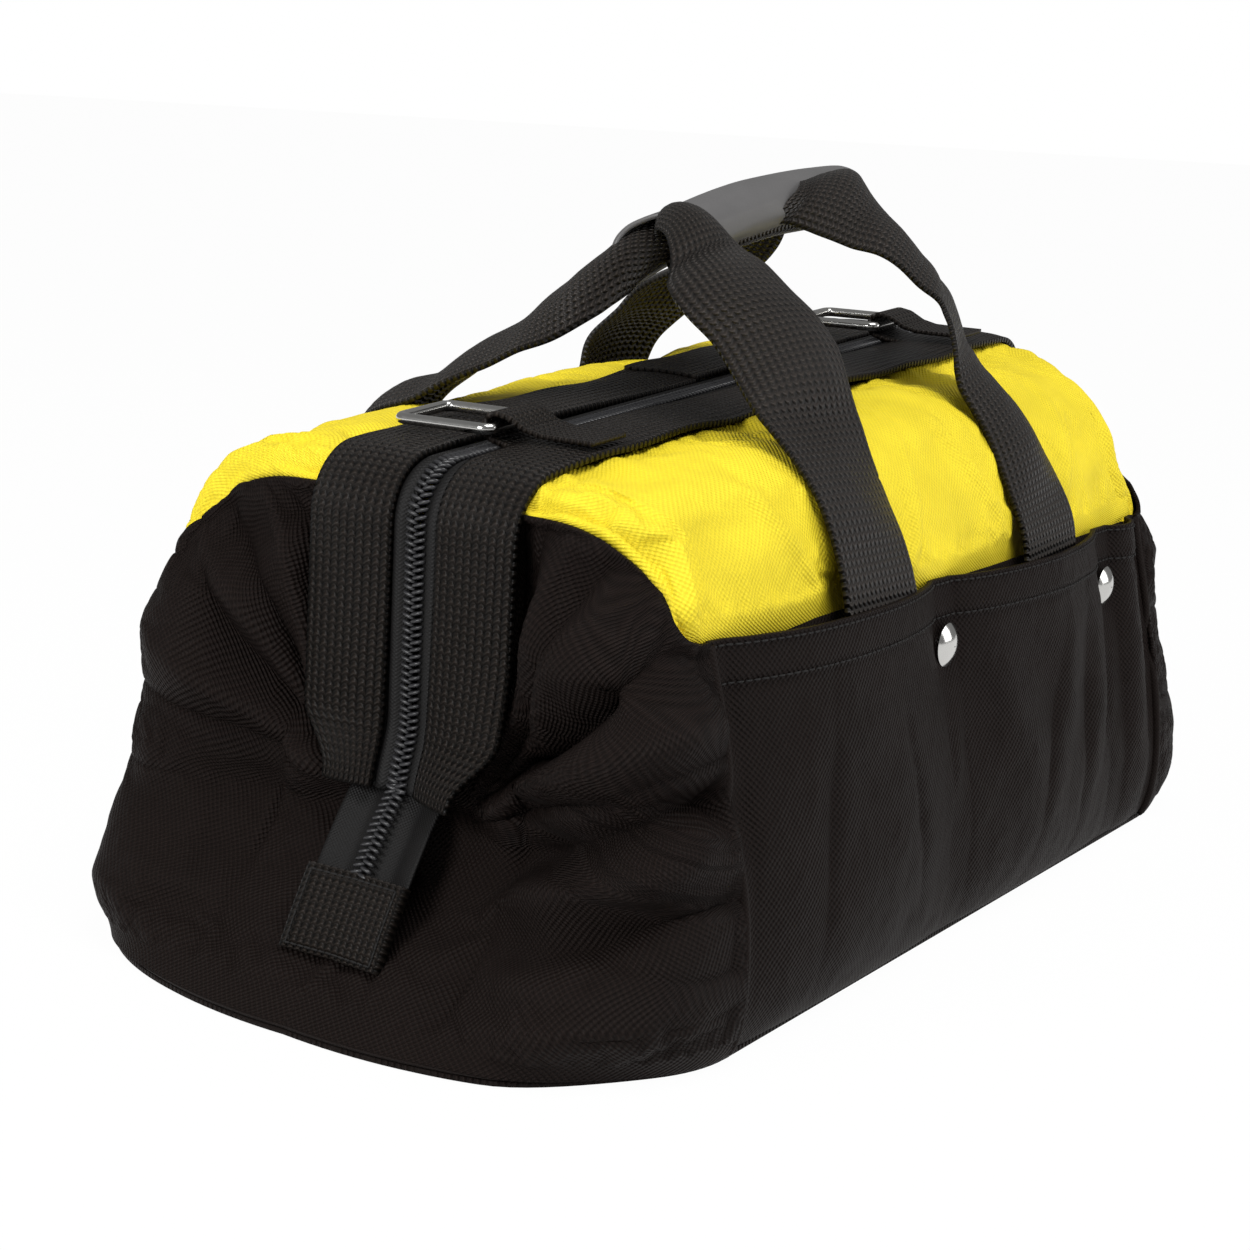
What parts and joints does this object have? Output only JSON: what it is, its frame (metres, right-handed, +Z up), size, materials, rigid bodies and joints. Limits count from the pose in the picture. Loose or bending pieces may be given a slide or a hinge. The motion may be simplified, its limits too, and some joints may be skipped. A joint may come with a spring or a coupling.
{
  "type": "tool bag",
  "caption": "Soft wide-mouth tool bag with a coil zip from end to end, outer pockets, webbing handles joined in one grip wrap, and two carry rings.",
  "frame": {"origin": "centre of the base's underside", "axes": "+X along the bag from the end with the loose zip tail to the end with the slider, +Y to the far side, +Z up"},
  "size_m": [0.465, 0.2424, 0.2565],
  "materials": {
    "black_fabric": "plain woven polyester, matt",
    "yellow_fabric": "plain woven polyester, matt",
    "webbing": "ribbed polypropylene webbing",
    "coil": "moulded nylon, satin",
    "metal": "nickel plated, polished",
    "wrap": "smooth, semi-gloss",
    "board": "plain sheet"
  },
  "bodies": {
    "bag": {"base_panel": "black_fabric", "base_board": "board", "side_near": "black_fabric", "side_far": "black_fabric", "end_front": "black_fabric", "end_rear": "black_fabric", "top_near": "yellow_fabric", "top_far": "yellow_fabric", "pocket_near": "black_fabric", "pocket_far": "black_fabric", "rivets_near": "metal", "rivets_far": "metal", "end_web_front_near": "webbing", "end_web_front_far": "webbing", "end_web_rear_near": "webbing", "end_web_rear_far": "webbing", "zip_tape_front": "black_fabric", "zip_tape_rear": "black_fabric", "zip_coil_front": "coil", "zip_coil_rear": "coil", "ring_tab_front": "webbing", "ring_tab_rear": "webbing", "leg_near_front": "webbing", "leg_near_rear": "webbing", "leg_far_front": "webbing", "leg_far_rear": "webbing"},
    "mouth_near": {"mouth_web_near": "webbing", "mouth_tape_near": "black_fabric", "mouth_coil_near": "coil"},
    "mouth_far": {"mouth_web_far": "webbing", "mouth_tape_far": "black_fabric", "mouth_coil_far": "coil"},
    "tail_front": {"tail_tape_front": "black_fabric", "tail_coil_front": "coil", "tail_tab_front": "webbing"},
    "tail_rear": {"tail_tape_rear": "black_fabric", "tail_tab_rear": "webbing"},
    "slider": {"slider": "metal"},
    "pull_tab": {"pull_tab": "metal"},
    "ring_front": {"ring_front": "metal"},
    "ring_rear": {"ring_rear": "metal"},
    "handle_near": {"handle_near": "webbing", "grip_wrap": "wrap"},
    "handle_far": {"handle_far": "webbing"}
  },
  "joints": [
    {"name": "mouth_near_lift", "type": "hinge", "parent": "bag", "child": "mouth_near", "pos_m": [0, -0.039, 0.174], "axis": [0.9972, 0, 0.075], "range_deg": [0, 55]},
    {"name": "mouth_far_lift", "type": "hinge", "parent": "bag", "child": "mouth_far", "pos_m": [0, 0.039, 0.174], "axis": [-0.9972, 0, -0.075], "range_deg": [0, 55]},
    {"name": "handle_near_fold", "type": "hinge", "parent": "bag", "child": "handle_near", "pos_m": [-0.00323, -0.0993, 0.14824], "axis": [0.9999, -0.0014, 0.0155], "range_deg": [0, 150], "deforming": ["grip_wrap"]},
    {"name": "handle_far_fold", "type": "hinge", "parent": "bag", "child": "handle_far", "pos_m": [-0.00323, 0.0993, 0.14824], "axis": [-0.9999, -0.0014, -0.0155], "range_deg": [0, 150]},
    {"name": "slider_run", "type": "slide", "parent": "bag", "child": "slider", "axis": [0, 0, 1], "range_m": [0, 0.065], "deforming": ["zip_coil_rear"]},
    {"name": "pull_tab_swing", "type": "hinge", "parent": "slider", "child": "pull_tab", "pos_m": [0.1819, 0, 0.084], "axis": [0, -1, 0], "range_deg": [0, 150]},
    {"name": "ring_front_swing", "type": "hinge", "parent": "bag", "child": "ring_front", "pos_m": [-0.13107, -0.00225, 0.17001], "axis": [0.9972, 0, 0.075], "range_deg": [0, 170]},
    {"name": "ring_rear_swing", "type": "hinge", "parent": "bag", "child": "ring_rear", "pos_m": [0.13019, -0.00225, 0.18966], "axis": [0.9972, 0, 0.075], "range_deg": [0, 170]},
    {"name": "tail_front_lift", "type": "hinge", "parent": "bag", "child": "tail_front", "pos_m": [-0.1771, 0, 0.0617], "axis": [0, 1, 0], "range_deg": [0, 75]},
    {"name": "tail_rear_lift", "type": "hinge", "parent": "bag", "child": "tail_rear", "pos_m": [0.1771, 0, 0.0617], "axis": [0, -1, 0], "range_deg": [0, 45]}
  ]
}
